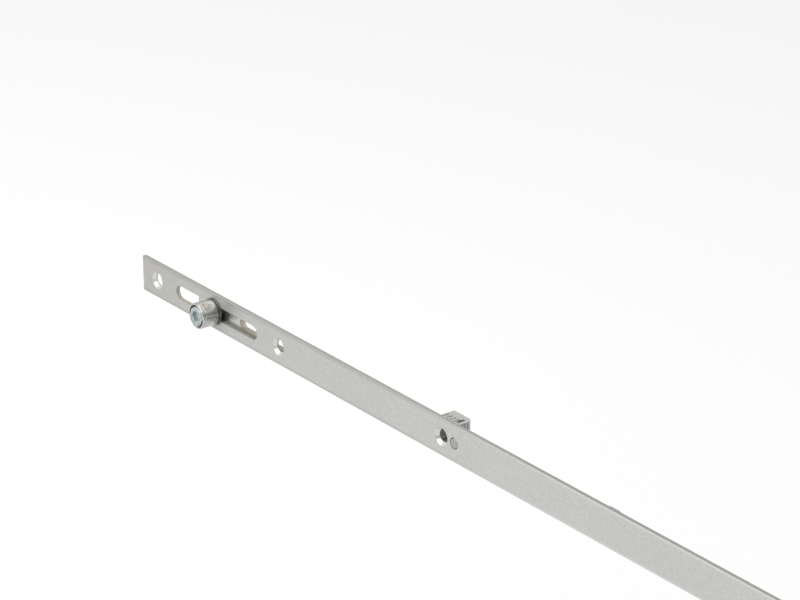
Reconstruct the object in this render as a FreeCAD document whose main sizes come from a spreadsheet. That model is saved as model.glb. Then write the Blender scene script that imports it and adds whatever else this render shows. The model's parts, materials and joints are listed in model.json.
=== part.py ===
"""Window espagnolette with a gear drive, 16 mm faceplate and roller cams.

Frame: X runs along the faceplate, Z across its width, and -Y is its front, where the cams stand.
The origin is on the front face, level with the axis of the handle's spindle.
The long leg points to -X and the short leg to +X. The drive rod is drawn at the middle of its travel.
All sizes are in millimetres.
"""
import FreeCAD, Part
import math
import os
import re
import Sketcher

# Driving sizes, one cell of the sheet each
SIZES = {
    # Faceplate
    "plate_long": 465.6,
    "plate_short": 189.4,
    "plate_width": 16.0,
    "plate_thick": 1.8,
    "edge_round": 0.2,
    "slot_length": 61.0,
    "slot_width": 6.4,
    "slot_shift": 1.5,
    "screw_hole": 5.3,
    "screw_sink": 7.8,
    "sink_angle": 90.0,
    "end_hole_inset": 11.3,
    "second_hole_gap": 47.7,
    "block_hole": 252.1,
    "near_hole_reach": 7.0,
    # Drive rod
    "rod_width": 10.0,
    "rod_thick": 2.8,
    "rod_gap": 0.1,
    "rod_clear": 0.15,
    "rod_tail": 14.5,
    "tip_round": 4.6,
    "window_width": 4.6,
    "second_window": 61.8,
    "window_spare": 0.6,
    "lap_land": 2.8,
    "lap_length": 14.0,
    "lap_gap": 0.2,
    # Rack and pinion
    "backset": 15.0,
    "teeth": 12,
    "pressure_angle": 20.0,
    "mesh_depth": 1.64,
    "mesh_gap": 0.3,
    "addendum": 1.14,
    "root_gap": 0.2,
    "pinion_face": 5.0,
    "collar_step": 0.6,
    "boss": 16.0,
    "bearing_gap": 0.05,
    "square": 7.1,
    "ladder_land": 4.8,
    "ladder_width": 5.5,
    # Gearbox case
    "case_width": 12.0,
    "case_wall": 1.5,
    "case_clear": 0.5,
    "case_corner": 5.0,
    "handle_spacing": 43.0,
    "handle_hole": 5.3,
    "bush_wall": 1.45,
    "rivet_inset": 6.0,
    "rivet_depth": 7.0,
    "bead_width": 8.0,
    "bead_depth": 0.4,
    "bead_margin": 2.6,
    # Rivets
    "rivet_shank": 3.2,
    "rivet_head": 4.8,
    "rivet_head_thick": 0.8,
    "rivet_ring": 0.06,
    "rivet_bevel": 0.35,
    "lap_rivet": 3.0,
    "lap_rivet_head": 4.4,
    "lap_head_thick": 0.6,
    # Cams
    "cam_inset_long": 55.2,
    "cam_inset_short": 49.4,
    "eccentric": 0.8,
    "neck_gap": 0.2,
    "plate_clear": 0.15,
    "washer": 12.0,
    "washer_thick": 1.0,
    "roller": 11.4,
    "roller_length": 7.9,
    "roller_round": 0.6,
    "roller_chamfer": 0.2,
    "lip_length": 1.4,
    "lip_groove": 0.5,
    "roller_gap": 0.06,
    "pin_body": 7.7,
    "pin_head": 8.5,
    "pin_head_thick": 1.3,
    "head_gap": 0.55,
    "pin_proud": 0.2,
    "tail_head": 7.8,
    "tail_thick": 0.9,
    "tail_chamfer": 0.3,
    "socket": 4.5,
    "socket_depth": 1.2,
    # Ribbed guide block
    "block_length": 12.0,
    "block_width": 12.0,
    "block_depth": 9.4,
    "block_nose": 3.0,
    "rib_inset": 1.2,
    "rib_pitch": 2.27,
    "rib_count": 4,
    "rib_groove": 1.2,
    "rib_reach": 5.6,
    "slit_inset": 2.5,
    "slit_width": 1.6,
    "slit_length": 3.8,
    "slit_depth": 1.6,
    "flute": 0.6,
    "flute_pitch": 1.4,
    "flute_count": 3,
    "key_gap": 0.3,
    "foot_rivet_tail": 3.8,
    "foot_step": 0.1,
    "foot_rim": 0.8,
    "foot_thick": 3.0,
    # Rod saddles
    "saddle_long": 153.9,
    "saddle_gap": 32.0,
    "saddle_length": 5.2,
    "saddle_wall": 0.85,
    "saddle_bevel": 0.8,
}

# Places and sizes that follow from the driving ones
PLACES = {
    "cam_long": "plate_long - cam_inset_long",
    "cam_short": "plate_short - cam_inset_short",
    "second_hole": "cam_long - second_hole_gap",
    "saddle_short": "cam_short - saddle_gap",
    "rod_front": "plate_thick + rod_gap",
    "rod_middle": "rod_front + rod_thick / 2",
    "rod_back": "rod_front + rod_thick",
    "channel_back": "rod_back + rod_clear",
    "channel_width": "rod_width + 2 * rod_clear",
    "pitch_radius": "backset - rod_front - mesh_depth",
    "rack_pitch": "2 * pi * pitch_radius / teeth",
    "travel": "pitch_radius * pi / 2",
    "pinion_tip": "pitch_radius + addendum",
    "pinion_root": "pitch_radius - rod_thick + mesh_depth - root_gap",
    "collar_radius": "pinion_root - collar_step",
    "flank_rise": "tan(pressure_angle * 1 deg)",
    "tooth_space": "rack_pitch / 4 + mesh_gap / 2",
    "tooth_space_front": "tooth_space - mesh_depth * flank_rise",
    "tooth_space_back": "tooth_space + (rod_thick - mesh_depth) * flank_rise",
    "ladder_side": "teeth / 4 + 1",
    "ladder_count": "2 * ladder_side + 1",
    "ladder_reach": "rack_pitch * ladder_side",
    "near_window_start": "ladder_reach + tooth_space_back + ladder_land",
    "face_rivet": "near_window_start + window_spare + rivet_shank / 2 + travel",
    "case_half": "face_rivet + rivet_inset",
    "near_hole": "case_half + near_hole_reach",
    "near_window_end": "near_hole + screw_hole / 2 + travel + window_spare",
    "lap_start": "near_window_end + lap_land",
    "lap_end": "lap_start + lap_length",
    "case_back": "backset + pinion_tip + case_clear + case_wall",
    "cavity_back": "case_back - case_wall",
    "cavity_half": "face_rivet - rivet_head / 2 - case_wall",
    "case_side": "case_width / 2",
    "case_inside": "case_width / 2 - case_wall",
    "bush": "handle_hole + 2 * bush_wall",
    "post_rivet": "(face_rivet - rivet_inset + handle_spacing / 2) / 2",
    "post_rivet_back": "cavity_back - rivet_head / 2 - case_wall / 2",
    "end_rivet_back": "channel_back + rivet_depth + rivet_head_thick + case_wall + rivet_head / 2",
    "bead_start": "handle_spacing / 2 + bush / 2 + bead_margin",
    "bead_end": "face_rivet - rivet_head / 2 - bead_margin",
    "neck": "slot_width - 2 * neck_gap",
    "pin_journal_bore": "neck + 2 * bearing_gap",
    "washer_front": "plate_clear + washer_thick",
    "roller_back": "washer_front + neck_gap / 2",
    "roller_front": "roller_back + roller_length",
    "pin_front": "roller_front + pin_proud",
    "head_back": "pin_front - pin_head_thick",
    "counterbore_back": "head_back - neck_gap / 2",
    "tail_front": "rod_back + neck_gap / 2",
    "tail_back": "tail_front + tail_thick",
    "block_back": "plate_thick + block_depth",
    "foot_reach": "block_length / 2 + foot_rivet_tail / 2 + foot_step",
    "foot_x": "foot_reach - block_hole",
    "foot_width": "rivet_head + 2 * foot_rim",
    "foot_back": "channel_back + foot_thick",
    "block_window_start": "block_hole + block_length / 2 + travel + window_width / 2 + window_spare",
    "block_window_end": "block_hole - foot_reach - rivet_shank / 2 - travel - window_spare",
    "saddle_back": "channel_back + saddle_wall",
}

X_AXIS = FreeCAD.Vector(1, 0, 0)
Y_AXIS = FreeCAD.Vector(0, 1, 0)
Z_AXIS = FreeCAD.Vector(0, 0, 1)

# How near an edge's middle has to be to a face to count as on it
TOUCH = 0.01

doc = FreeCAD.newDocument("window_espagnolette")
sheet = doc.addObject("Spreadsheet::Sheet", "Sizes")
for row, (alias, size) in enumerate(SIZES.items(), start=1):
    sheet.set(f"A{row}", alias)
    sheet.set(f"B{row}", str(size))
    sheet.setAlias(f"B{row}", alias)
doc.recompute()


def formula(text):
    """An expression spelled out, with places as their formulas and sizes as cells of the sheet."""

    def spell(match):
        word = match.group()
        if word in PLACES:
            return "(" + formula(PLACES[word]) + ")"
        if word in SIZES:
            return "Sizes." + word
        return word

    return re.sub(r"[a-z][a-z_]*", spell, text)


def number(text):
    """The value of an expression in millimetres."""
    return float(sheet.evalExpression(formula(text)))


def bind(item, place, text):
    """Tie a property of an object to an expression."""
    item.setExpression(place, formula(text))


# Sketches

def new_body(label):
    """An empty body with its own label."""
    body = doc.addObject("PartDesign::Body", label)
    body.Label = label
    return body


def new_sketch(body, name, role, right="0", up="0", lift="0"):
    """A sketch on one of the body's origin planes, with its own origin moved right, up and out."""
    drawing = body.newObject("Sketcher::SketchObject", name)
    plane = [item for item in body.Origin.OriginFeatures if item.Role == role][0]
    drawing.AttachmentSupport = (plane, [""])
    drawing.MapMode = "FlatFace"
    bind(drawing, "AttachmentOffset.Base.x", right)
    bind(drawing, "AttachmentOffset.Base.y", up)
    bind(drawing, "AttachmentOffset.Base.z", lift)
    return drawing


def dimension(drawing, kind, ends, text):
    """A driving dimension of a sketch, tied to an expression."""
    place = drawing.addConstraint(Sketcher.Constraint(kind, *ends, number(text)))
    bind(drawing, f"Constraints[{place}]", text)


def put(drawing, line, point, x_text, y_text):
    """Place a point of a sketch by its two distances from the origin, either of which may be negative."""
    for kind, axis, text in (("DistanceX", -2, x_text), ("DistanceY", -1, y_text)):
        if text == "0":
            drawing.addConstraint(Sketcher.Constraint("PointOnObject", line, point, axis))
        elif number(text) > 0:
            dimension(drawing, kind, (-1, 1, line, point), text)
        else:
            dimension(drawing, kind, (line, point, -1, 1), "-(" + text + ")")


def outline(drawing, corners):
    """A closed outline of straight lines, each corner given by two expressions."""
    points = [FreeCAD.Vector(number(x_text), number(y_text), 0) for x_text, y_text in corners]
    first = drawing.GeometryCount
    count = len(corners)
    for side in range(count):
        drawing.addGeometry(Part.LineSegment(points[side], points[(side + 1) % count]), False)
    for side in range(count):
        joint = Sketcher.Constraint("Coincident", first + side, 2, first + (side + 1) % count, 1)
        drawing.addConstraint(joint)
    for side, (x_text, y_text) in enumerate(corners):
        put(drawing, first + side, 1, x_text, y_text)


def rectangle(drawing, length, width):
    """A rectangle centred on the sketch's origin."""
    half_length = f"({length}) / 2"
    half_width = f"({width}) / 2"
    low_left = (f"-{half_length}", f"-{half_width}")
    low_right = (half_length, f"-{half_width}")
    high_right = (half_length, half_width)
    high_left = (f"-{half_length}", half_width)
    outline(drawing, [low_left, low_right, high_right, high_left])


def round_slot(drawing, length, width):
    """A slot with round ends, centred on the sketch's origin."""
    radius = number(width) / 2
    reach = number(length) / 2 - radius
    centre_left = FreeCAD.Vector(-reach, 0, 0)
    centre_right = FreeCAD.Vector(reach, 0, 0)
    quarter = math.pi / 2
    low = Part.LineSegment(FreeCAD.Vector(-reach, -radius, 0), FreeCAD.Vector(reach, -radius, 0))
    high = Part.LineSegment(FreeCAD.Vector(reach, radius, 0), FreeCAD.Vector(-reach, radius, 0))
    end_right = Part.ArcOfCircle(Part.Circle(centre_right, Z_AXIS, radius), -quarter, quarter)
    end_left = Part.ArcOfCircle(Part.Circle(centre_left, Z_AXIS, radius), quarter, 3 * quarter)
    first = drawing.addGeometry([low, end_right, high, end_left], False)[0]
    for side in range(4):
        joint = Sketcher.Constraint("Tangent", first + side, 2, first + (side + 1) % 4, 1)
        drawing.addConstraint(joint)
    drawing.addConstraint(Sketcher.Constraint("Horizontal", first))
    drawing.addConstraint(Sketcher.Constraint("Symmetric", first + 1, 3, first + 3, 3, -1, 1))
    dimension(drawing, "DistanceX", (first + 3, 3, first + 1, 3), f"{length} - {width}")
    dimension(drawing, "Radius", (first + 1,), f"({width}) / 2")


def circles(drawing, centres, diameter):
    """Equal circles, each centre given by two expressions."""
    for x_text, y_text in centres:
        centre = FreeCAD.Vector(number(x_text), number(y_text), 0)
        ring = drawing.addGeometry(Part.Circle(centre, Z_AXIS, number(diameter) / 2), False)
        put(drawing, ring, 3, x_text, y_text)
        dimension(drawing, "Diameter", (ring,), diameter)


def both_sides(x_text):
    """Two centres on the sketch's horizontal axis, one each side of its origin."""
    return [(f"-({x_text})", "0"), (x_text, "0")]


# Features

def pad(body, name, drawing, length):
    """Material from the sketch outwards, along its normal."""
    feature = body.newObject("PartDesign::Pad", name)
    feature.Profile = drawing
    bind(feature, "Length", length)
    doc.recompute()
    return feature


def pocket(body, name, drawing, depth=None):
    """A cut from the sketch against its normal, to a depth or right through."""
    before = body.Shape.Volume
    feature = body.newObject("PartDesign::Pocket", name)
    feature.Profile = drawing
    if depth is None:
        feature.Type = "ThroughAll"
    else:
        bind(feature, "Length", depth)
    doc.recompute()
    if body.Shape.Volume >= before:
        raise RuntimeError(f"{name} cuts nothing from {body.Label}")
    return feature


def revolve(body, name, drawing):
    """Material turned about the sketch's vertical axis."""
    feature = body.newObject("PartDesign::Revolution", name)
    feature.Profile = drawing
    feature.ReferenceAxis = (drawing, ["V_Axis"])
    feature.Angle = 360
    doc.recompute()
    return feature


def row_of(body, name, feature, drawing, axis, length, count):
    """Copies of a cut in a straight row along an axis of its sketch."""
    pattern = body.newObject("PartDesign::LinearPattern", name)
    pattern.Originals = [feature]
    pattern.Direction = (drawing, [axis])
    bind(pattern, "Length", length)
    bind(pattern, "Occurrences", count)
    body.Tip = pattern
    doc.recompute()
    return pattern


def round_edge(body, name, radius, test):
    """A fillet on the edges whose middle points pass a test."""
    base = body.Tip
    names = [f"Edge{place}" for place, edge in enumerate(base.Shape.Edges, start=1)
             if test(edge.valueAt((edge.FirstParameter + edge.LastParameter) / 2), edge)]
    feature = body.newObject("PartDesign::Fillet", name)
    feature.Base = (base, names)
    bind(feature, "Radius", radius)
    doc.recompute()
    return feature


def along(axis, edge):
    """True for a straight edge parallel to an axis."""
    if edge.Curve.TypeId != "Part::GeomLine":
        return False
    return abs(edge.tangentAt(edge.FirstParameter).dot(axis)) > 1 - TOUCH


# Plain solids

def cylinder(name, diameter, length, x="0", y="0", z="0", along="Y"):
    """A cylinder that starts at a point and runs along +Y or +Z."""
    solid = doc.addObject("Part::Cylinder", name)
    bind(solid, "Radius", f"({diameter}) / 2")
    bind(solid, "Height", length)
    if along == "Y":
        solid.Placement = FreeCAD.Placement(FreeCAD.Vector(), FreeCAD.Rotation(X_AXIS, -90))
    bind(solid, "Placement.Base.x", x)
    bind(solid, "Placement.Base.y", y)
    bind(solid, "Placement.Base.z", z)
    return solid


def bevelled_head(name, diameter, bevel, length, x="0"):
    """A round head that starts at the front face, smaller there by a bevel all round."""
    tip = doc.addObject("Part::Cone", name + "_tip")
    bind(tip, "Radius1", f"({diameter}) / 2 - {bevel}")
    bind(tip, "Radius2", f"({diameter}) / 2")
    bind(tip, "Height", bevel)
    tip.Placement = FreeCAD.Placement(FreeCAD.Vector(), FreeCAD.Rotation(X_AXIS, -90))
    bind(tip, "Placement.Base.x", x)
    return [tip, cylinder(name + "_rest", diameter, f"{length} - {bevel}", x=x, y=bevel)]


def fused(label, solids):
    """One solid made of several."""
    result = doc.addObject("Part::MultiFuse", label)
    result.Shapes = solids
    result.Label = label
    return result


def cut(label, base, tool):
    """One solid less another."""
    result = doc.addObject("Part::Cut", label)
    result.Base = base
    result.Tool = tool
    result.Label = label
    return result


def grouped(label, solids):
    """Equal loose solids kept as one sub-part."""
    result = doc.addObject("Part::Compound", label)
    result.Links = solids
    result.Label = label
    return result


# Faceplate

def make_faceplate():
    """The stamped strip with its slots, countersunk screw holes and recessed rivet holes."""
    body = new_body("faceplate")
    strip = new_sketch(body, "strip", "XZ_Plane", right="(plate_short - plate_long) / 2", lift="-plate_thick")
    rectangle(strip, "plate_long + plate_short", "plate_width")
    pad(body, "strip_pad", strip, "plate_thick")
    round_edge(body, "rolled_edges", "edge_round",
               lambda point, edge: along(X_AXIS, edge) and point.y < TOUCH)
    for side, centre in (("long", "slot_shift - cam_long"), ("short", "cam_short - slot_shift")):
        slot = new_sketch(body, f"slot_{side}", "XZ_Plane", right=centre)
        round_slot(slot, "slot_length", "slot_width")
        pocket(body, f"slot_{side}_cut", slot)
    holes = new_sketch(body, "screw_holes", "XZ_Plane")
    ends = [("end_hole_inset - plate_long", "0"), ("plate_short - end_hole_inset", "0")]
    middle = [("-second_hole", "0"), ("-block_hole", "0")] + both_sides("near_hole")
    circles(holes, ends + middle, "screw_hole")
    drilled = body.newObject("PartDesign::Hole", "countersunk_holes")
    drilled.Profile = holes
    doc.recompute()
    drilled.DepthType = "ThroughAll"
    bind(drilled, "Diameter", "screw_hole")
    drilled.HoleCutType = "Countersink"
    drilled.HoleCutCustomValues = True
    bind(drilled, "HoleCutDiameter", "screw_sink")
    bind(drilled, "HoleCutCountersinkAngle", "sink_angle")
    doc.recompute()
    rivet_places = both_sides("face_rivet") + [("foot_x", "0")]
    shanks = new_sketch(body, "rivet_holes", "XZ_Plane")
    circles(shanks, rivet_places, "rivet_shank")
    pocket(body, "rivet_holes_cut", shanks)
    heads = new_sketch(body, "rivet_recesses", "XZ_Plane")
    circles(heads, rivet_places, "rivet_head + 2 * rivet_ring")
    pocket(body, "rivet_recesses_cut", heads, "rivet_head_thick")
    return body


# Drive rod

def strip_piece(body, name, start, end, front, back):
    """A length of flat rod between two places along X and two depths."""
    drawing = new_sketch(body, name, "XZ_Plane", right=f"(({start}) + ({end})) / 2", lift=f"-({back})")
    rectangle(drawing, f"({end}) - ({start})", "rod_width")
    pad(body, name + "_pad", drawing, f"({back}) - ({front})")


def window(body, name, start, end):
    """A screw window with round ends between two places along X."""
    drawing = new_sketch(body, name, "XZ_Plane", right=f"(({start}) + ({end})) / 2", lift="-rod_front")
    round_slot(drawing, f"({end}) - ({start})", "window_width")
    pocket(body, name + "_cut", drawing)


def lap_holes(body, name, side, face, through_from):
    """Rivet holes through one half of a lap joint, with recesses for the flush heads."""
    places = [(f"{side}(lap_start + lap_length / 4)", "0"), (f"{side}(lap_end - lap_length / 4)", "0")]
    shanks = new_sketch(body, name + "_shanks", "XZ_Plane", lift=f"-({through_from})")
    circles(shanks, places, "lap_rivet")
    pocket(body, name + "_shanks_cut", shanks)
    heads = new_sketch(body, name + "_heads", "XZ_Plane", lift=f"-({face})")
    circles(heads, places, "lap_rivet_head")
    pocket(body, name + "_heads_cut", heads, "lap_head_thick")


def make_rod(label, side, cam, windows):
    """One leg of the drive rod, from its cam to the half-lap joint with the rack slider."""
    body = new_body(label)
    tip = f"{side}({cam} + rod_tail)"
    shoulder = f"{side}lap_end"
    tongue = f"{side}(lap_start + lap_gap)"
    if side == "-":
        strip_piece(body, "full", tip, shoulder, "rod_front", "rod_back")
        strip_piece(body, "tongue", shoulder, tongue, "rod_front", "rod_middle")
    else:
        strip_piece(body, "full", shoulder, tip, "rod_front", "rod_back")
        strip_piece(body, "tongue", tongue, shoulder, "rod_front", "rod_middle")
    bore = new_sketch(body, "cam_bore", "XZ_Plane", lift="-rod_front")
    circles(bore, [(f"{side}({cam} + eccentric)", "0")], "pin_journal_bore")
    pocket(body, "cam_bore_cut", bore)
    for name, start, end in windows:
        window(body, name, start, end)
    lap_holes(body, "lap", side, "rod_front", "rod_front")
    reach = abs(number(tip))
    round_edge(body, "tip", "tip_round",
               lambda point, edge: along(Y_AXIS, edge) and abs(point.x) > reach - TOUCH)
    return body


def make_rack_slider():
    """The middle of the drive rod: a ladder for the pinion, screw windows and a tongue at each end."""
    body = new_body("rack_slider")
    strip_piece(body, "full", "-lap_start", "lap_start", "rod_front", "rod_back")
    strip_piece(body, "tongue_long", "lap_gap - lap_end", "-lap_start", "rod_middle", "rod_back")
    strip_piece(body, "tongue_short", "lap_start", "lap_end - lap_gap", "rod_middle", "rod_back")
    window(body, "window_long", "-near_window_end", "-near_window_start")
    window(body, "window_short", "near_window_start", "near_window_end")
    for name, side in (("lap_long", "-"), ("lap_short", "")):
        lap_holes(body, name, side, "rod_back - lap_head_thick", "rod_middle")
    space = new_sketch(body, "tooth_space", "XY_Plane", right="-ladder_reach", lift="ladder_width / 2")
    front_left = ("-tooth_space_front", "rod_front")
    front_right = ("tooth_space_front", "rod_front")
    back_right = ("tooth_space_back", "rod_back")
    back_left = ("-tooth_space_back", "rod_back")
    outline(space, [front_left, front_right, back_right, back_left])
    first = pocket(body, "tooth_space_cut", space, "ladder_width")
    row_of(body, "ladder", first, space, "H_Axis", "2 * ladder_reach", "ladder_count")
    return body


def lap_rivet(name, x_text):
    """A rivet with two flat heads, flush with the rod on both sides."""
    shank = cylinder(name + "_shank", "lap_rivet", "rod_thick", x=x_text, y="rod_front")
    front = cylinder(name + "_front", "lap_rivet_head", "lap_head_thick", x=x_text, y="rod_front")
    back = cylinder(name + "_back", "lap_rivet_head", "lap_head_thick",
                    x=x_text, y="rod_back - lap_head_thick")
    return fused(name, [shank, front, back])


# Rack drive and gearbox

def tooth_flank(radius_pitch, radius_base, radius, teeth):
    """Half the angle that a tooth fills at a radius, on involute flanks."""
    pressure = math.acos(radius_base / radius_pitch)
    local = math.acos(min(1.0, radius_base / radius))
    return math.pi / (2 * teeth) + math.tan(pressure) - pressure - math.tan(local) + local


def make_gear_form():
    """The toothed disc, with one tooth pointing straight at the rack."""
    teeth = int(number("teeth"))
    pitch = number("pitch_radius")
    base = pitch * math.cos(math.radians(number("pressure_angle")))
    tip = number("pinion_tip")
    root = number("pinion_root")
    foot = max(base, root)

    def at(radius, angle):
        return FreeCAD.Vector(radius * math.sin(angle), -radius * math.cos(angle), 0)

    edges = []
    for tooth in range(teeth):
        centre = 2 * math.pi * tooth / teeth
        half_gap = math.pi / teeth
        radii = [foot, (foot + tip) / 2, tip]
        spread = [tooth_flank(pitch, base, radius, teeth) for radius in radii]
        rise = [at(radius, centre - half) for radius, half in zip(radii, spread)]
        fall = [at(radius, centre + half) for radius, half in zip(radii, spread)]
        fall.reverse()
        low_start = at(root, centre - spread[0])
        low_end = at(root, centre + spread[0])
        next_start = at(root, centre + 2 * half_gap - spread[0])
        edges.append(Part.LineSegment(low_start, rise[0]).toShape())
        edges.append(Part.Arc(*rise).toShape())
        edges.append(Part.Arc(rise[2], at(tip, centre), fall[0]).toShape())
        edges.append(Part.Arc(*fall).toShape())
        edges.append(Part.LineSegment(fall[2], low_end).toShape())
        edges.append(Part.Arc(low_end, at(root, centre + half_gap), next_start).toShape())
    face = Part.Face(Part.Wire(edges))
    form = doc.addObject("Part::Feature", "gear_form")
    form.Shape = face.extrude(FreeCAD.Vector(0, 0, number("pinion_face")))
    form.Placement = FreeCAD.Placement(
        FreeCAD.Vector(0, number("backset"), -number("pinion_face") / 2), FreeCAD.Rotation())
    return form


def make_follower_pinion():
    """The gear, its collars and bearing bosses, with the square hole for the spindle."""
    gear = make_gear_form()
    collar_thick = "2 * (case_inside - bearing_gap)"
    collar = cylinder("follower_collar", "2 * collar_radius", collar_thick,
                      y="backset", z="bearing_gap - case_inside", along="Z")
    boss = cylinder("follower_boss", "boss", "case_width - 2 * bearing_gap",
                    y="backset", z="bearing_gap - case_side", along="Z")
    solid = fused("follower_solid", [gear, collar, boss])
    hole = doc.addObject("Part::Box", "spindle_hole")
    for size, text in (("Length", "square"), ("Width", "square"), ("Height", "case_width")):
        bind(hole, size, text)
    bind(hole, "Placement.Base.x", "-square / 2")
    bind(hole, "Placement.Base.y", "backset - square / 2")
    bind(hole, "Placement.Base.z", "-case_side")
    return cut("follower_pinion", solid, hole)


def make_case_half(label, low, high, inside_low, inside_high, channel_low, channel_high):
    """One half of the gearbox case: an open tray with bores, bearing for the follower and rivet holes."""

    def sunk(depth):
        """The top of a recess of that depth in the half's outer face."""
        return high if low == "0" else f"{low} + {depth}"

    body = new_body(label)
    middle = "(plate_thick + case_back) / 2"
    tray = new_sketch(body, "tray", "XY_Plane", up=middle, lift=low)
    rectangle(tray, "2 * case_half", "case_back - plate_thick")
    pad(body, "tray_pad", tray, f"({high}) - ({low})")
    back = number("case_back")
    round_edge(body, "corners", "case_corner",
               lambda point, edge: along(Z_AXIS, edge) and point.y > back - TOUCH)
    cavity = new_sketch(body, "cavity", "XY_Plane", up="(channel_back + cavity_back) / 2", lift=inside_high)
    rectangle(cavity, "2 * cavity_half", "cavity_back - channel_back")
    pocket(body, "cavity_cut", cavity, f"({inside_high}) - ({inside_low})")
    posts = new_sketch(body, "posts", "XY_Plane", up="post_rivet_back", lift=low)
    circles(posts, both_sides("post_rivet"), "rivet_head + 2 * case_wall")
    pad(body, "posts_pad", posts, f"({high}) - ({low})")
    channel = new_sketch(body, "channel", "XY_Plane",
                         up="(plate_thick + channel_back) / 2", lift=channel_high)
    rectangle(channel, "2 * (case_half + case_wall)", "channel_back - plate_thick")
    pocket(body, "channel_cut", channel, f"({channel_high}) - ({channel_low})")
    bearing = new_sketch(body, "bearing", "XY_Plane", up="backset", lift=high)
    circles(bearing, [("0", "0")], "boss + 2 * bearing_gap")
    pocket(body, "bearing_cut", bearing)
    bores = new_sketch(body, "handle_bores", "XY_Plane", up="backset", lift=high)
    circles(bores, both_sides("handle_spacing / 2"), "bush")
    pocket(body, "handle_bores_cut", bores)
    for name, x_text, y_text in (("post", "post_rivet", "post_rivet_back"),
                                 ("end", "face_rivet", "end_rivet_back")):
        shanks = new_sketch(body, name + "_rivets", "XY_Plane", up=y_text, lift=high)
        circles(shanks, both_sides(x_text), "rivet_shank")
        pocket(body, name + "_rivets_cut", shanks)
        heads = new_sketch(body, name + "_heads", "XY_Plane", up=y_text, lift=sunk("rivet_head_thick"))
        circles(heads, both_sides(x_text), "rivet_head")
        pocket(body, name + "_heads_cut", heads, "rivet_head_thick")
    for name, sign in (("long", "-"), ("short", "")):
        bead = new_sketch(body, "bead_" + name, "XY_Plane", right=f"{sign}(bead_start + bead_end) / 2",
                          up="backset", lift=sunk("bead_depth"))
        round_slot(bead, "bead_end - (bead_start)", "bead_width")
        pocket(body, f"bead_{name}_cut", bead, "bead_depth")
    shank_bores = new_sketch(body, "face_rivet_bores", "XZ_Plane", lift="-channel_back")
    circles(shank_bores, both_sides("face_rivet"), "rivet_shank")
    pocket(body, "face_rivet_bores_cut", shank_bores, "rivet_depth")
    tails = new_sketch(body, "face_rivet_tails", "XZ_Plane", lift="-(channel_back + rivet_depth)")
    circles(tails, both_sides("face_rivet"), "rivet_head")
    pocket(body, "face_rivet_tails_cut", tails, "rivet_head_thick")
    return body


def case_rivet(name, x_text, y_text):
    """A rivet across the case with a flush head on each side."""
    at = {"x": x_text, "y": y_text, "along": "Z"}
    shank = cylinder(name + "_shank", "rivet_shank", "case_width", z="-case_side", **at)
    lower = cylinder(name + "_lower", "rivet_head", "rivet_head_thick", z="-case_side", **at)
    upper = cylinder(name + "_upper", "rivet_head", "rivet_head_thick",
                     z="case_side - rivet_head_thick", **at)
    return fused(name, [shank, lower, upper])


def face_rivet(label, x_text, tail, tail_head):
    """A rivet through the faceplate with its head flush in front and its tail's head at a given depth."""
    head = bevelled_head(label + "_head", "rivet_head", "rivet_bevel", "rivet_head_thick", x=x_text)
    shank = cylinder(label + "_shank", "rivet_shank", tail, x=x_text)
    end = cylinder(label + "_tail", tail_head, "rivet_head_thick", x=x_text, y=tail)
    return fused(label, head + [shank, end])


def handle_bush(name, x_text):
    """A tube across the case for one of the handle's screws."""
    at = {"x": x_text, "y": "backset", "z": "-case_side", "along": "Z"}
    outside = cylinder(name + "_outside", "bush", "case_width", **at)
    inside = cylinder(name + "_inside", "handle_hole", "case_width", **at)
    return cut(name, outside, inside)


# Roller cams

def make_cam_pin(label, axis_x, offset):
    """The pin: riveted tail and neck on the turning axis, body, head and socket on the roller's axis."""
    body = new_body(label)
    bind(body, "Placement.Base.x", axis_x)
    neck = new_sketch(body, "neck_profile", "XY_Plane")
    outline(neck, [
        ("0", "-(plate_clear + washer_thick / 2)"),
        ("neck / 2", "-(plate_clear + washer_thick / 2)"),
        ("neck / 2", "tail_front"),
        ("tail_head / 2", "tail_front"),
        ("tail_head / 2", "tail_back - tail_chamfer"),
        ("tail_head / 2 - tail_chamfer", "tail_back"),
        ("0", "tail_back"),
    ])
    revolve(body, "neck_turned", neck)
    head = new_sketch(body, "head_profile", "XY_Plane", right=offset)
    outline(head, [
        ("0", "-plate_clear"),
        ("pin_body / 2", "-plate_clear"),
        ("pin_body / 2", "-head_back"),
        ("pin_head / 2", "-head_back"),
        ("pin_head / 2", "pin_proud - pin_front"),
        ("pin_head / 2 - pin_proud", "-pin_front"),
        ("0", "-pin_front"),
    ])
    revolve(body, "head_turned", head)
    socket = new_sketch(body, "socket", "XZ_Plane", right=offset, lift="pin_front")
    corner = "socket / sqrt(3)"
    outline(socket, [
        (corner, "0"),
        (f"{corner} / 2", "socket / 2"),
        (f"-{corner} / 2", "socket / 2"),
        (f"-{corner}", "0"),
        (f"-{corner} / 2", "-socket / 2"),
        (f"{corner} / 2", "-socket / 2"),
    ])
    pocket(body, "socket_cut", socket, "socket_depth")
    return body


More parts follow.
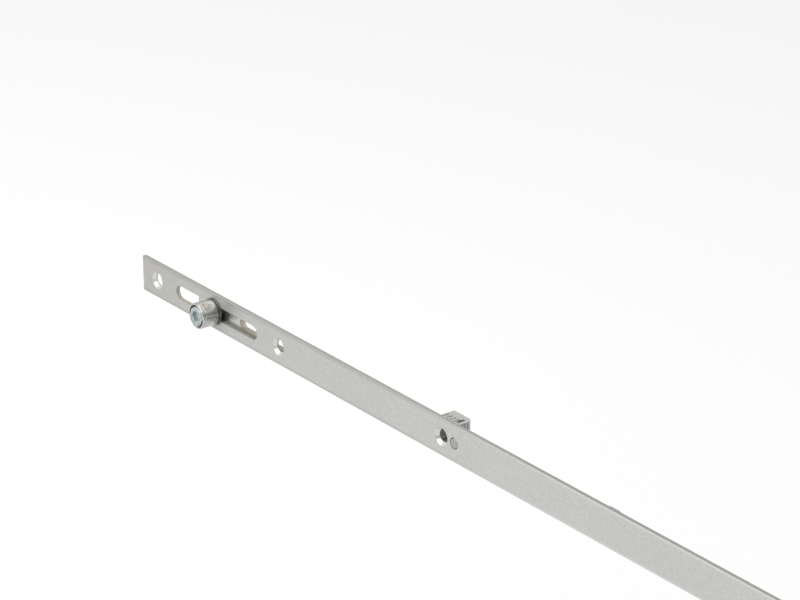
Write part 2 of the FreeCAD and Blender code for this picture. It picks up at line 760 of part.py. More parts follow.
def make_cam_roller(label, x_text):
    """The sleeve that turns on the pin: a lip in front, set off by a groove and counterbored for the head."""
    body = new_body(label)
    bind(body, "Placement.Base.x", x_text)
    section = new_sketch(body, "sleeve_profile", "XY_Plane")
    bore = "pin_body / 2 + roller_gap"
    counterbore = "pin_head / 2 + head_gap"
    groove = "lip_length - roller_front"
    outline(section, [
        (bore, "-roller_back"),
        ("roller / 2 - roller_chamfer", "-roller_back"),
        ("roller / 2", "-(roller_back + roller_chamfer)"),
        ("roller / 2", f"{groove} + lip_groove / 2"),
        ("roller / 2 - lip_groove / 2", groove),
        ("roller / 2", f"{groove} - lip_groove / 2"),
        ("roller / 2", "-roller_front"),
        (counterbore, "-roller_front"),
        (counterbore, "-counterbore_back"),
        (bore, "-counterbore_back"),
    ])
    revolve(body, "sleeve_turned", section)
    front = number("roller_front")
    rim = number("roller / 2")
    round_edge(body, "rim", "roller_round",
               lambda point, edge: point.y < TOUCH - front and math.hypot(point.x, point.z) > rim - TOUCH)
    return body


def make_cam_washer(label, x_text):
    """The thin ring between the roller and the faceplate, pressed on the pin."""
    ring = cylinder(label + "_ring", "washer", "washer_thick", x=x_text, y="-washer_front")
    hole = cylinder(label + "_hole", "pin_body", "washer_thick", x=x_text, y="-washer_front")
    return cut(label, ring, hole)


# Guides behind the faceplate

def make_guide_block():
    """The ribbed block at the third screw hole: it straddles the rod, keys into its window and is riveted."""
    body = new_body("guide_block")
    middle = "(plate_thick + block_back) / 2"
    plan = new_sketch(body, "plan", "XY_Plane", right="-block_hole", up=middle, lift="-block_width / 2")
    rectangle(plan, "block_length", "block_depth")
    pad(body, "plan_pad", plan, "block_width")
    back = number("block_back")
    nose = number("block_length / 2 - block_hole")
    round_edge(body, "nose", "block_nose",
               lambda point, edge: along(Z_AXIS, edge) and min(point.y - back, point.x - nose) > -TOUCH)
    flute = new_sketch(body, "flute", "XY_Plane", right="block_length / 2 - block_hole",
                       up="block_back - block_nose", lift="block_width / 2")
    circles(flute, [("0", "0")], "flute")
    first_flute = pocket(body, "flute_cut", flute)
    flutes = row_of(body, "flutes", first_flute, flute, "V_Axis",
                    "flute_pitch * (flute_count - 1)", "flute_count")
    flutes.Reversed = True
    channel = new_sketch(body, "channel", "XZ_Plane", right="-block_hole", lift="-plate_thick")
    rectangle(channel, "block_length + 2 * foot_rim", "channel_width")
    pocket(body, "channel_cut", channel, "channel_back - plate_thick")
    key = new_sketch(body, "key", "XZ_Plane", right="-(block_hole + block_length / 4)", lift="-channel_back")
    rectangle(key, "block_length / 2", "window_width - 2 * key_gap")
    pad(body, "key_pad", key, "channel_back - plate_thick")
    foot = new_sketch(body, "foot", "XZ_Plane", right="foot_x - foot_width / 2", lift="-foot_back")
    round_slot(foot, "2 * foot_width", "foot_width")
    pad(body, "foot_pad", foot, "foot_thick")
    screw = new_sketch(body, "screw_hole", "XZ_Plane", lift="-plate_thick")
    circles(screw, [("-block_hole", "0")], "screw_hole")
    pocket(body, "screw_hole_cut", screw)
    shank = new_sketch(body, "rivet_hole", "XZ_Plane", lift="-plate_thick")
    circles(shank, [("foot_x", "0")], "rivet_shank")
    pocket(body, "rivet_hole_cut", shank)
    groove = new_sketch(body, "groove", "XZ_Plane",
                        right="rib_inset - block_length / 2 - block_hole", lift="-plate_thick")
    circles(groove, [("0", "block_width / 2"), ("0", "-block_width / 2")], "rib_groove")
    first_groove = pocket(body, "groove_cut", groove, "rib_reach")
    row_of(body, "grooves", first_groove, groove, "H_Axis", "rib_pitch * (rib_count - 1)", "rib_count")
    slit_x = "block_length / 2 - block_hole - slit_inset"
    slit_y = "channel_back + rod_clear + slit_length / 2"
    for name, top in (("upper", "block_width / 2"), ("lower", "slit_depth - block_width / 2")):
        slit = new_sketch(body, "slit_" + name, "XY_Plane", right=slit_x, up=slit_y, lift=top)
        rectangle(slit, "slit_width", "slit_length")
        pocket(body, "slit_" + name + "_cut", slit, "slit_depth")
    return body


def make_saddle(label, x_text):
    """A thin bridge over the rod that stands on the faceplate with a leg on each side."""
    body = new_body(label)
    section = new_sketch(body, "section", "YZ_Plane", lift=f"{x_text} - saddle_length / 2")
    outline(section, [
        ("plate_thick", "-case_side"),
        ("saddle_back - saddle_bevel", "-case_side"),
        ("saddle_back", "saddle_bevel - case_side"),
        ("saddle_back", "case_side - saddle_bevel"),
        ("saddle_back - saddle_bevel", "case_side"),
        ("plate_thick", "case_side"),
        ("plate_thick", "channel_width / 2"),
        ("channel_back", "channel_width / 2"),
        ("channel_back", "-channel_width / 2"),
        ("plate_thick", "-channel_width / 2"),
    ])
    pad(body, "section_pad", section, "saddle_length")
    return body


def make_parts():
    """Every sub-part, in the order in which the lock would be put together."""
    second_window_half = "second_window / 2"
    long_windows = [
        ("second_window", f"-second_hole - {second_window_half}", f"{second_window_half} - second_hole"),
        ("block_window", "-block_window_start", "-block_window_end"),
    ]
    lap_places = []
    for name, side in (("long", "-"), ("short", "")):
        lap_places.append((f"lap_rivet_{name}_outer", f"{side}(lap_end - lap_length / 4)"))
        lap_places.append((f"lap_rivet_{name}_inner", f"{side}(lap_start + lap_length / 4)"))
    case_places = []
    for name, x_text, y_text in (("post", "post_rivet", "post_rivet_back"),
                                 ("end", "face_rivet", "end_rivet_back")):
        case_places.append((f"case_rivet_{name}_long", f"-({x_text})", y_text))
        case_places.append((f"case_rivet_{name}_short", x_text, y_text))
    case_tail = "channel_back + rivet_depth"
    face_places = [("face_rivet_long", "-face_rivet", case_tail, "rivet_head"),
                   ("face_rivet_short", "face_rivet", case_tail, "rivet_head")]
    parts = [
        make_faceplate(),
        make_rack_slider(),
        make_rod("drive_rod_long", "-", "cam_long", long_windows),
        make_rod("drive_rod_short", "", "cam_short", []),
        grouped("rod_lap_rivets", [lap_rivet(name, x_text) for name, x_text in lap_places]),
        make_follower_pinion(),
        make_case_half("gearbox_case_lower", "-case_side", "0", "-case_inside", "0",
                       "-channel_width / 2", "0"),
        make_case_half("gearbox_case_upper", "0", "case_side", "0", "case_inside",
                       "0", "channel_width / 2"),
        grouped("gearbox_case_rivets", [case_rivet(*place) for place in case_places]),
        grouped("gearbox_face_rivets", [face_rivet(*place) for place in face_places]),
        grouped("handle_screw_bushes", [handle_bush("bush_long", "-handle_spacing / 2"),
                                        handle_bush("bush_short", "handle_spacing / 2")]),
        make_guide_block(),
        face_rivet("guide_block_rivet", "foot_x", "foot_back", "foot_rivet_tail"),
        make_saddle("guide_saddle_long", "-saddle_long"),
        make_saddle("guide_saddle_short", "saddle_short"),
    ]
    for side, sign, inward in (("long", "-", "eccentric"), ("short", "", "-eccentric")):
        cam = f"{sign}cam_{side}"
        parts.append(make_cam_pin(f"cam_pin_{side}", f"{cam} - ({inward})", inward))
        parts.append(make_cam_roller(f"cam_roller_{side}", cam))
        parts.append(make_cam_washer(f"cam_washer_{side}", cam))
    return parts


def check(parts):
    """Stop on any failed object, or on a sub-part that isn't a sound solid."""
    doc.recompute()
    for item in doc.Objects:
        if "Invalid" in item.State or "Error" in item.State:
            raise RuntimeError(f"{item.Label} failed: {item.State}")
    for part in parts:
        shape = part.Shape
        if shape.isNull() or not shape.isValid() or not shape.Solids:
            raise RuntimeError(f"{part.Label} has no valid solid")


parts = make_parts()
check(parts)
os.makedirs("parts", exist_ok=True)
for part in parts:
    part.Shape.exportStep(f"parts/{part.Label}.step")
    box = part.Shape.BoundBox
    print(f"{part.Label:22s} solids {len(part.Shape.Solids)}  volume {part.Shape.Volume:9.2f}  "
          f"x {box.XMin:8.2f} {box.XMax:8.2f}  y {box.YMin:6.2f} {box.YMax:6.2f}  "
          f"z {box.ZMin:6.2f} {box.ZMax:6.2f}")
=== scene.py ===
"""Window espagnolette in satin zinc: finishes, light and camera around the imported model.

Everything is in metres, in the model's own frame: X along the faceplate, -Y out of its front, Z across it.
"""
import json
import math

import bpy
from mathutils import Matrix, Vector


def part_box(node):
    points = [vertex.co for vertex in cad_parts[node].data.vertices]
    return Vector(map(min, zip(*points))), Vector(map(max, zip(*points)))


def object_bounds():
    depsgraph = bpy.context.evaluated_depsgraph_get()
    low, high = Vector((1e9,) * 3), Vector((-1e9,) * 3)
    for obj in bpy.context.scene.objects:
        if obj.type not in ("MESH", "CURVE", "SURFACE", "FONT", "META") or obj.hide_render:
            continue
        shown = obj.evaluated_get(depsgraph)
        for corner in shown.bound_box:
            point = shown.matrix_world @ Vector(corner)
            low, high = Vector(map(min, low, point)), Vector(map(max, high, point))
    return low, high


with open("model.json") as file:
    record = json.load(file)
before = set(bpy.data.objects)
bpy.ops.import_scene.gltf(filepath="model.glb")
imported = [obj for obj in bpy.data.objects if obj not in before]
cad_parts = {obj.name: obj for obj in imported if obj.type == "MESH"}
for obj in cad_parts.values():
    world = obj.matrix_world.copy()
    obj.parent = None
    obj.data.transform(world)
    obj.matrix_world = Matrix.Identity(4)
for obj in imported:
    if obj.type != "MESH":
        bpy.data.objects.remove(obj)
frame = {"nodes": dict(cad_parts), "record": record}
cad_low, cad_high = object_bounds()

MM = 0.001
X, Y, Z = 0, 1, 2
NODES = frame["nodes"]
PLATE_HALF_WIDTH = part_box("faceplate")[1].z
PIN_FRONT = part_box("cam_pin_long")[0].y

# Where the photograph was taken from
CAMERA_PLACE = Vector((0.671751, -0.715793, 0.545133))
CAMERA_AZIMUTH = math.radians(53.018)
CAMERA_ELEVATION = math.radians(22.636)
CAMERA_ROLL = math.radians(-0.087)
CAMERA_LENS = 148.5
SENSOR_WIDTH = 36.0

# Places along the lock where the faceplate's painted shade gives way to painted light, from its long end
# inwards
WARM_UNTIL = -0.46
NEUTRAL_AT = -0.38
PALE_FROM = -0.22
SHADED_RIM_UNTIL = -0.28
LIT_RIM_FROM = -0.18

# Radii of the pin's hexagon socket and head, and of the wider bore round that head
SOCKET_REACH = 2.7 * MM
PIN_HEAD_REACH = 4.0 * MM
ROLLER_BORE_REACH = 5.0 * MM

# How deep the bevels reach on the rivet heads that lie flush in the faceplate
FLUSH_HEAD_DEPTH = 0.36 * MM

# Middle and reach of the darker, warmer patch on a roller's upper flank: outwards along the leg, up, and
# along its axis
WARM_PATCH = ((-3.1 * MM, 2.3 * MM), (4.8 * MM, 2.3 * MM), (-6.1 * MM, 2.9 * MM))

# Where the studio is dimmest and where it is brightest, seen from the lock
DARK_SIDE = Vector((0.72, -0.55, 0.42)).normalized()
BRIGHT_SIDE = Vector((-0.05, 0.56, 0.83)).normalized()


# Shader building

class Shader:
    """A node material that is put together with short calls."""

    def __init__(self, name):
        self.material = bpy.data.materials.new(name)
        self.material.use_nodes = True
        self.tree = self.material.node_tree
        self.surface = self.tree.nodes["Principled BSDF"]
        self.coords = self.tree.nodes.new("ShaderNodeTexCoord")

    def link(self, source, target):
        self.tree.links.new(source, target)
        return source

    def set(self, **values):
        """Constants on the surface's own sockets, with underscores for spaces."""
        for name, value in values.items():
            self.surface.inputs[name.replace("_", " ")].default_value = value

    def stretched(self, scale):
        """The object's coordinates, scaled along each axis."""
        node = self.tree.nodes.new("ShaderNodeMapping")
        node.inputs["Scale"].default_value = scale
        self.link(self.coords.outputs["Object"], node.inputs["Vector"])
        return node.outputs["Vector"]

    def noise(self, scale, detail=3.0, roughness=0.5, distortion=0.0):
        """Noise from 0 to 1, with its own scale along each axis, in cycles per metre."""
        node = self.tree.nodes.new("ShaderNodeTexNoise")
        node.inputs["Scale"].default_value = 1.0
        node.inputs["Detail"].default_value = detail
        node.inputs["Roughness"].default_value = roughness
        node.inputs["Distortion"].default_value = distortion
        self.link(self.stretched(scale), node.inputs["Vector"])
        return node.outputs["Fac"]

    def math(self, operation, first, second=0.0, clamp=False):
        node = self.tree.nodes.new("ShaderNodeMath")
        node.operation = operation
        node.use_clamp = clamp
        for place, value in enumerate((first, second)):
            if isinstance(value, (int, float)):
                node.inputs[place].default_value = value
            else:
                self.link(value, node.inputs[place])
        return node.outputs["Value"]

    def span(self, value, from_low, from_high, to_low, to_high):
        """A value carried from one range to another, held at its ends."""
        node = self.tree.nodes.new("ShaderNodeMapRange")
        node.clamp = True
        node.inputs["From Min"].default_value = from_low
        node.inputs["From Max"].default_value = from_high
        node.inputs["To Min"].default_value = to_low
        node.inputs["To Max"].default_value = to_high
        self.link(value, node.inputs["Value"])
        return node.outputs["Result"]

    def mix(self, factor, first, second, blend="MIX"):
        """A colour mix. A colour may be three numbers or a socket."""
        node = self.tree.nodes.new("ShaderNodeMix")
        node.data_type = "RGBA"
        node.blend_type = blend
        for name, value in (("Factor", factor), ("A", first), ("B", second)):
            socket = [item for item in node.inputs if item.name == name and item.enabled][0]
            if isinstance(value, (int, float)):
                socket.default_value = value
            elif isinstance(value, tuple):
                socket.default_value = (*value, 1.0)
            else:
                self.link(value, socket)
        return [item for item in node.outputs if item.enabled][0]

    def times(self, first, second):
        """Two colours multiplied."""
        return self.mix(1.0, first, second, blend="MULTIPLY")

    def part_of(self, output, axis):
        """One component of a vector."""
        node = self.tree.nodes.new("ShaderNodeSeparateXYZ")
        self.link(output, node.inputs[0])
        return node.outputs[axis]

    def place(self, axis):
        """A point's place along one axis."""
        return self.part_of(self.coords.outputs["Object"], axis)

    def facing(self, axis):
        """How squarely the surface faces along one axis, either way."""
        return self.math("ABSOLUTE", self.part_of(self.coords.outputs["Normal"], axis))

    def bump(self, height, strength, distance, before=None):
        """Fine relief from a height."""
        node = self.tree.nodes.new("ShaderNodeBump")
        node.inputs["Strength"].default_value = strength
        node.inputs["Distance"].default_value = distance
        self.link(height, node.inputs["Height"])
        if before is not None:
            self.link(before, node.inputs["Normal"])
        return node.outputs["Normal"]

    def finish(self, color=None, roughness=None, normal=None):
        """Link what varies over the surface."""
        for name, output in (("Base Color", color), ("Roughness", roughness), ("Normal", normal)):
            if output is not None:
                self.link(output, self.surface.inputs[name])
        return self.material


def scaled(color, factor):
    """A colour made lighter or darker."""
    return tuple(part * factor for part in color)


def strip_grain(shader, light, dark):
    """The colour of a rolled and plated face, with the grain and the mottling that make it."""
    clouds = shader.noise((20.0, 60.0, 60.0), detail=2.0)
    lines = shader.noise((160.0, 1400.0, 1400.0), detail=3.0, roughness=0.6)
    mottle = shader.noise((650.0, 800.0, 800.0), detail=2.0)
    tone = shader.math("ADD", shader.math("MULTIPLY", lines, 0.5), shader.math("MULTIPLY", mottle, 0.5))
    face = shader.mix(shader.span(tone, 0.38, 0.62, 0.0, 1.0), dark, light)
    green = tuple(part * factor for part, factor in zip(light, (0.97, 0.985, 0.93)))
    violet = tuple(part * factor for part, factor in zip(light, (0.93, 0.915, 0.95)))
    tint = shader.mix(shader.span(clouds, 0.42, 0.58, 0.0, 1.0), green, violet)
    return shader.mix(0.3, face, tint), lines, mottle


def plate_face(shader, face, light, dark, height, inward):
    """The faceplate's face, with painted light and shade: darker and warmer with shaded rims at its long end,
    paler with lit rims further in.
    """
    # Painted shade and light on the rims: darkened near the long end, lightened further in
    near_edge = shader.span(height, PLATE_HALF_WIDTH - 1.5 * MM, PLATE_HALF_WIDTH - 0.3 * MM, 0.0, 1.0)
    rim = shader.mix(inward, scaled(dark, 0.93), scaled(light, 1.03))
    face = shader.mix(near_edge, face, rim)
    # Painted shade and light along the length: darker and warmer at the long end, paler further in
    place = shader.place(X)
    cooled = shader.span(place, WARM_UNTIL, NEUTRAL_AT, 0.0, 1.0)
    paled = shader.span(place, NEUTRAL_AT, PALE_FROM, 0.0, 1.0)
    cast = shader.mix(cooled, (0.93, 0.905, 0.89), (1.0, 1.0, 1.0))
    cast = shader.mix(paled, cast, (1.05, 1.05, 1.06))
    return shader.times(face, cast)


def plate_flank(shader, cut, flank, height, inward):
    """The faceplate's cut sides: light and warm in the slots, with painted shade darkening the outer edges.
    """
    flank = shader.times(flank, (1.18, 1.14, 1.06))
    # Painted shade: the outer edges are darkened, a little more further in
    outer = shader.span(height, PLATE_HALF_WIDTH - 0.6 * MM, PLATE_HALF_WIDTH - 0.4 * MM, 0.0, 1.0)
    outer_edge_shade = shader.mix(inward, (0.74, 0.74, 0.74), (0.66, 0.66, 0.64))
    return shader.mix(outer, flank, shader.times(cut, outer_edge_shade))


def zinc_strip(name, light, dark, edge, rough, metallic=0.65, plate=False):
    """Rolled and zinc plated strip: lengthwise grain, faint clouds of passivation and duller shear-cut edges.

    plate is True for the faceplate, whose tone changes along its length and at its rims as painted light and
    shade, and whose countersinks are lighter and glossier, partly bare drilled metal and partly a painted
    highlight.
    """
    shader = Shader(name)
    shader.set(Metallic=metallic)
    face, lines, mottle = strip_grain(shader, light, dark)
    across = shader.facing(Y)
    side = shader.span(across, 0.15, 0.75, 1.0, 0.0)
    tears = shader.noise((3000.0, 400.0, 400.0), detail=3.0)
    cut = shader.mix(shader.span(tears, 0.3, 0.7, 0.0, 1.0), edge, scaled(edge, 0.85))
    flank = shader.times(cut, (0.74, 0.72, 0.70))
    if plate:
        height = shader.math("ABSOLUTE", shader.place(Z))
        inward = shader.span(shader.place(X), SHADED_RIM_UNTIL, LIT_RIM_FROM, 0.0, 1.0)
        face = plate_face(shader, face, light, dark, height, inward)
        flank = plate_flank(shader, cut, flank, height, inward)
    cut = shader.mix(shader.span(shader.facing(Z), 0.5, 0.9, 0.0, 1.0), cut, flank)
    color = shader.mix(side, face, cut)
    roughness = shader.math("ADD", shader.span(lines, 0.3, 0.7, rough - 0.05, rough + 0.05),
                            shader.math("MULTIPLY", side, 0.25))
    if plate:
        # Countersink walls: glossier bare drilled metal, with a lighter colour that is partly a painted
        # highlight
        drilled = shader.math("MULTIPLY", shader.span(across, 0.60, 0.65, 0.0, 1.0),
                              shader.span(across, 0.76, 0.81, 1.0, 0.0))
        color = shader.mix(drilled, color, (0.64, 0.64, 0.61))
        roughness = shader.math("SUBTRACT", roughness, shader.math("MULTIPLY", drilled, 0.2))
    relief = shader.bump(lines, 0.25, 0.03 * MM)
    relief = shader.bump(mottle, 0.15, 0.03 * MM, before=relief)
    return shader.finish(color=color, roughness=roughness, normal=relief)


def beside_axis(shader):
    """How far a point lies outwards along the leg and up from the nearer roller's axis."""
    boxes = [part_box("cam_roller_" + side) for side in ("long", "short")]
    long_x, short_x = [(low.x + high.x) / 2 for low, high in boxes]
    away = shader.math("ABSOLUTE", shader.math("SUBTRACT", shader.place(X), (long_x + short_x) / 2))
    across = shader.math("SUBTRACT", away, (short_x - long_x) / 2)
    return across, shader.place(Z)


def from_axis(shader):
    """Distance from the axis of the nearer roller."""
    across, up = beside_axis(shader)
    squares = shader.math("ADD", shader.math("MULTIPLY", across, across), shader.math("MULTIPLY", up, up))
    return shader.math("SQRT", squares)


def gap_light_and_shade(shader, color, where):
    """Painted light and shade in the narrow gap round a pin head: the walls that where marks are lightened,
    and two opposite corners are painted near black.
    """
    # Painted light: the walls that where marks get a very light colour, so that the narrow gap looks lighter
    color = shader.mix(where, color, (0.88, 0.90, 0.89))
    across, up = beside_axis(shader)
    # Painted shade: two opposite corners of the gap are painted near black
    corner = shader.span(shader.math("MULTIPLY", across, up), -1.5 * MM * MM, 3.0 * MM * MM, 0.0, 1.0)
    return shader.mix(shader.math("MULTIPLY", corner, where), color, (0.04, 0.04, 0.036))


def warm_patch(shader):
    """1 on a patch of a roller's upper flank that is given a darker, warmer colour, and 0 away from it."""
    total = 0.0
    for value, (middle, reach) in zip((*beside_axis(shader), shader.place(Y)), WARM_PATCH):
        off = shader.math("DIVIDE", shader.math("SUBTRACT", value, middle), reach)
        total = shader.math("ADD", total, shader.math("MULTIPLY", off, off))
    return shader.span(total, 0.3, 1.3, 1.0, 0.0)


def turned_steel(name, light, dark, rough):
    """Burnished sleeves with fine turning marks round their axes along Y, a darker and warmer patch on the
    upper flank, and painted light and shade in their bores.
    """
    shader = Shader(name)
    shader.set(Metallic=1.0)
    rings = shader.noise((60.0, 7000.0, 60.0), detail=3.0)
    smears = shader.noise((700.0, 300.0, 700.0), detail=3.0)
    color = shader.mix(shader.span(smears, 0.35, 0.65, 0.0, 1.0), dark, light)
    warm_patch_mask = shader.math("MULTIPLY", warm_patch(shader), shader.span(smears, 0.35, 0.6, 1.0, 0.45))
    color = shader.mix(warm_patch_mask, color, (0.23, 0.21, 0.165))
    # Painted light and shade in the bore round the pin head
    radius = from_axis(shader)
    bore = shader.span(radius, ROLLER_BORE_REACH - 0.1 * MM, ROLLER_BORE_REACH + 0.1 * MM, 1.0, 0.0)
    color = gap_light_and_shade(shader, color, bore)
    roughness = shader.span(smears, 0.3, 0.7, rough - 0.04, rough + 0.06)
    relief = shader.bump(rings, 0.10, 0.02 * MM)
    return shader.finish(color=color, roughness=roughness, normal=relief)


def pin_marks(shader, color):
    """Painted light in the socket of a cam's pin, and painted light and shade on the side wall of its head.
    """
    radius = from_axis(shader)
    # Painted light: the socket is lightened against the shade in its depth
    deep = shader.span(shader.place(Y), PIN_FRONT + 0.05 * MM, PIN_FRONT + 0.3 * MM, 0.0, 1.0)
    inside = shader.span(radius, SOCKET_REACH, SOCKET_REACH + 0.1 * MM, 1.0, 0.0)
    color = shader.mix(shader.math("MULTIPLY", deep, inside), color, (0.48, 0.54, 0.545))
    # Painted light and shade on the side wall of the pin head, round the gap
    wall = shader.span(shader.facing(Y), 0.2, 0.5, 1.0, 0.0)
    outside = shader.span(radius, PIN_HEAD_REACH, PIN_HEAD_REACH + 0.1 * MM, 0.0, 1.0)
    return gap_light_and_shade(shader, color, shader.math("MULTIPLY", wall, outside))


def blue_zinc(name, light, dark, rough, metallic=1.0, pin=False):
    """Bluish zinc plate on a small turned piece. pin is True for the pins of the cams."""
    shader = Shader(name)
    shader.set(Metallic=metallic)
    clouds = shader.noise((900.0, 900.0, 900.0), detail=3.0)
    grit = shader.noise((5200.0, 5200.0, 5200.0), detail=3.0)
    color = shader.mix(shader.span(clouds, 0.35, 0.65, 0.0, 1.0), dark, light)
    if pin:
        color = pin_marks(shader, color)
    roughness = shader.span(clouds, 0.3, 0.7, rough - 0.05, rough + 0.05)
    relief = shader.bump(grit, 0.10, 0.03 * MM)
    return shader.finish(color=color, roughness=roughness, normal=relief)


def rivet_zinc(name, light, dark, rough):
    """Zinc plated rivets: dull on the case, worn where they lie flush in the plate, with painted shade on the
    bevels of those flush heads.
    """
    shader = Shader(name)
    shader.set(Metallic=0.9)
    clouds = shader.noise((900.0, 900.0, 900.0), detail=3.0)
    color = shader.mix(shader.span(clouds, 0.35, 0.65, 0.0, 1.0), dark, light)
    flush = shader.span(shader.place(Y), FLUSH_HEAD_DEPTH, FLUSH_HEAD_DEPTH + 0.02 * MM, 1.0, 0.0)
    worn = shader.mix(shader.span(clouds, 0.4, 0.6, 0.0, 1.0), scaled(light, 0.66), scaled(light, 0.86))
    color = shader.mix(flush, color, worn)
    # Painted shade: the bevel round each flush head is darkened in patches
    bevel_shade = shader.math("MULTIPLY", shader.span(shader.facing(Y), 0.8, 0.9, 1.0, 0.0), flush)
    color = shader.mix(shader.math("MULTIPLY", bevel_shade, shader.span(clouds, 0.4, 0.6, 0.4, 1.0)),
                       color, (0.22, 0.215, 0.21))
    color = shader.mix(shader.span(shader.facing(Z), 0.5, 0.8, 0.0, 1.0), color, scaled(dark, 0.55))
    roughness = shader.span(clouds, 0.3, 0.7, rough - 0.05, rough + 0.05)
    return shader.finish(color=color, roughness=roughness)


def cast_zinc(name, light, dark, rough, metallic=1.0):
    """The skin of a zinc die casting: fine orange peel and darker flow marks."""
    shader = Shader(name)
    shader.set(Metallic=metallic)
    flow = shader.noise((70.0, 160.0, 160.0), detail=4.0, distortion=1.2)
    peel = shader.noise((2600.0, 2600.0, 2600.0), detail=3.0)
    color = shader.mix(shader.span(flow, 0.3, 0.7, 0.0, 1.0), dark, light)
    roughness = shader.span(peel, 0.3, 0.7, rough - 0.05, rough + 0.08)
    relief = shader.bump(peel, 0.18, 0.04 * MM)
    return shader.finish(color=color, roughness=roughness, normal=relief)


def moulded(name, light, dark, rough):
    """Matt moulded plastic with a fine spark-eroded grain."""
    shader = Shader(name)
    grain = shader.noise((4200.0, 4200.0, 4200.0), detail=3.0)
    patches = shader.noise((300.0, 300.0, 300.0), detail=2.0)
    color = shader.mix(shader.span(patches, 0.3, 0.7, 0.0, 1.0), dark, light)
    roughness = shader.span(grain, 0.3, 0.7, rough - 0.05, rough + 0.05)
    relief = shader.bump(grain, 0.2, 0.03 * MM)
    return shader.finish(color=color, roughness=roughness, normal=relief)


# The finish of each slot: lighter and darker colour, the cut edge's where there is one, then the roughness
MATERIALS = {
    "faceplate_zinc": zinc_strip("faceplate_zinc", (0.535, 0.54, 0.515), (0.43, 0.435, 0.415),
                                 (0.50, 0.505, 0.48), 0.46, plate=True),
    "rod_zinc": zinc_strip("rod_zinc", (0.57, 0.59, 0.555), (0.44, 0.455, 0.43), (0.56, 0.545, 0.45), 0.24,
                           metallic=0.9),
    "pin_zinc": blue_zinc("pin_zinc", (0.55, 0.60, 0.595), (0.27, 0.31, 0.32), 0.36, metallic=0.7, pin=True),
    # Painted shade: the washers get a dark grey that stands for the shadowed gap at the foot of each roller
    "washer_steel": blue_zinc("washer_steel", (0.27, 0.27, 0.255), (0.18, 0.18, 0.17), 0.36),
    "roller_steel": turned_steel("roller_steel", (0.50, 0.495, 0.475), (0.41, 0.405, 0.395), 0.25),
    "rivet_steel": rivet_zinc("rivet_steel", (0.50, 0.505, 0.485), (0.42, 0.425, 0.41), 0.44),
    "pinion_steel": cast_zinc("pinion_steel", (0.20, 0.19, 0.18), (0.13, 0.125, 0.12), 0.38),
    "diecast_zinc": cast_zinc("diecast_zinc", (0.48, 0.48, 0.455), (0.37, 0.37, 0.35), 0.52, metallic=0.6),
    "guide_plastic": moulded("guide_plastic", (0.25, 0.24, 0.26), (0.20, 0.19, 0.21), 0.5),
}


def dress_nodes():
    """The record's slot of each CAD node picks its material."""
    for subpart in frame["record"]["subparts"]:
        mesh = NODES[subpart["node"]].data
        mesh.materials.clear()
        mesh.materials.append(MATERIALS[subpart["material_slot"]])


dress_nodes()


# Stage

def make_floor():
    """A wide pale floor below the lock, white to the eye and to polished metal, that takes its shadow."""
    drop = 0.10
    reach = 12.0
    grey = 0.58
    glow_strength = 0.26
    mesh = bpy.data.meshes.new("floor")
    corners = [(-reach, -reach, 0), (reach, -reach, 0), (reach, reach, 0), (-reach, reach, 0)]
    mesh.from_pydata(corners, [], [(0, 1, 2, 3)])
    floor = bpy.data.objects.new("floor", mesh)
    floor.location.z = cad_low.z - drop
    bpy.context.scene.collection.objects.link(floor)
    material = bpy.data.materials.new("floor_white")
    material.use_nodes = True
    tree = material.node_tree
    surface = tree.nodes["Principled BSDF"]
    surface.inputs["Base Color"].default_value = (grey, grey, grey, 1.0)
    surface.inputs["Roughness"].default_value = 1.0
    surface.inputs["Specular IOR Level"].default_value = 0.0
    glow = tree.nodes.new("ShaderNodeEmission")
    glow.inputs["Color"].default_value = (1.0, 1.0, 1.0, 1.0)
    seen = seen_rays(tree)
    lift = tree.nodes.new("ShaderNodeMath")
    lift.operation = "MULTIPLY"
    lift.inputs[1].default_value = glow_strength
    tree.links.new(seen, lift.inputs[0])
    tree.links.new(lift.outputs[0], glow.inputs["Strength"])
    both = tree.nodes.new("ShaderNodeAddShader")
    tree.links.new(surface.outputs[0], both.inputs[0])
    tree.links.new(glow.outputs[0], both.inputs[1])
    tree.links.new(both.outputs[0], tree.nodes["Material Output"].inputs["Surface"])
    mesh.materials.append(material)


def seen_rays(tree):
    """1 for rays from the eye, off polished metal or through glass, else 0."""
    path = tree.nodes.new("ShaderNodeLightPath")
    total = path.outputs["Is Camera Ray"]
    for name in ("Is Glossy Ray", "Is Transmission Ray"):
        larger = tree.nodes.new("ShaderNodeMath")
        larger.operation = "MAXIMUM"
        tree.links.new(total, larger.inputs[0])
        tree.links.new(path.outputs[name], larger.inputs[1])
        total = larger.outputs[0]
    return total


def lobe(tree, coords, axis, cosine_out, cosine_in, outside, inside):
    """A value that goes smoothly from outside to inside as a direction turns towards the axis."""
    facing = tree.nodes.new("ShaderNodeVectorMath")
    facing.operation = "DOT_PRODUCT"
    facing.inputs[1].default_value = axis
    tree.links.new(coords.outputs["Generated"], facing.inputs[0])
    strength = tree.nodes.new("ShaderNodeMapRange")
    strength.interpolation_type = "SMOOTHSTEP"
    strength.inputs["From Min"].default_value = cosine_out
    strength.inputs["From Max"].default_value = cosine_in
    strength.inputs["To Min"].default_value = outside
    strength.inputs["To Max"].default_value = inside
    tree.links.new(facing.outputs["Value"], strength.inputs["Value"])
    return strength.outputs["Result"]


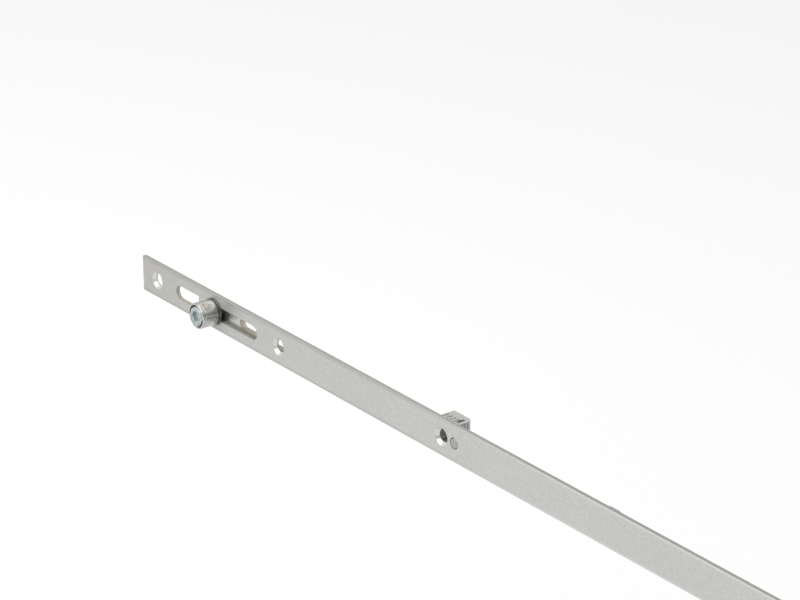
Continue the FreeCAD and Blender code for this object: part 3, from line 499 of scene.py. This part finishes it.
def make_world():
    """A white tent, dimmer where the photographer stands and brighter high up at the back."""
    world = bpy.data.worlds.new("studio")
    bpy.context.scene.world = world
    world.use_nodes = True
    tree = world.node_tree
    background = tree.nodes["Background"]
    coords = tree.nodes.new("ShaderNodeTexCoord")
    dim = lobe(tree, coords, DARK_SIDE, cosine_out=0.55, cosine_in=0.97, outside=0.85, inside=0.33)
    bright = lobe(tree, coords, BRIGHT_SIDE, cosine_out=0.55, cosine_in=0.95, outside=0.0, inside=0.6)
    total = tree.nodes.new("ShaderNodeMath")
    tree.links.new(dim, total.inputs[0])
    tree.links.new(bright, total.inputs[1])
    tree.links.new(total.outputs[0], background.inputs["Strength"])
    background.inputs["Color"].default_value = (1.0, 1.0, 1.0, 1.0)


def make_lamp(name, direction, distance, size, power):
    """A soft round lamp that looks at the middle of the faceplate's long leg."""
    target = Vector((-0.2, 0.0, 0.0))
    data = bpy.data.lights.new(name, "AREA")
    data.shape = "DISK"
    data.size = size
    data.energy = power
    lamp = bpy.data.objects.new(name, data)
    lamp.location = target + Vector(direction).normalized() * distance
    lamp.rotation_mode = "QUATERNION"
    lamp.rotation_quaternion = (lamp.location - target).to_track_quat("Z", "Y")
    bpy.context.scene.collection.objects.link(lamp)


def make_camera():
    """The photograph's place, direction and lens."""
    data = bpy.data.cameras.new("photo_camera")
    data.lens = CAMERA_LENS
    data.sensor_width = SENSOR_WIDTH
    data.clip_start = 0.05
    data.clip_end = 60.0
    camera = bpy.data.objects.new("photo_camera", data)
    back = Vector((
        math.sin(CAMERA_AZIMUTH) * math.cos(CAMERA_ELEVATION),
        -math.cos(CAMERA_AZIMUTH) * math.cos(CAMERA_ELEVATION),
        math.sin(CAMERA_ELEVATION),
    ))
    right = Vector((math.cos(CAMERA_AZIMUTH), math.sin(CAMERA_AZIMUTH), 0.0))
    up = back.cross(right)
    turn = Matrix((right, up, back)).transposed() @ Matrix.Rotation(CAMERA_ROLL, 3, "Z")
    camera.matrix_world = Matrix.Translation(CAMERA_PLACE) @ turn.to_4x4()
    bpy.context.scene.collection.objects.link(camera)
    bpy.context.scene.camera = camera


make_floor()
make_world()
make_lamp("key_lamp", direction=(-0.12, -0.69, 0.67), distance=1.4, size=1.7, power=15.0)
make_camera()
bpy.context.scene.view_settings.view_transform = "Standard"
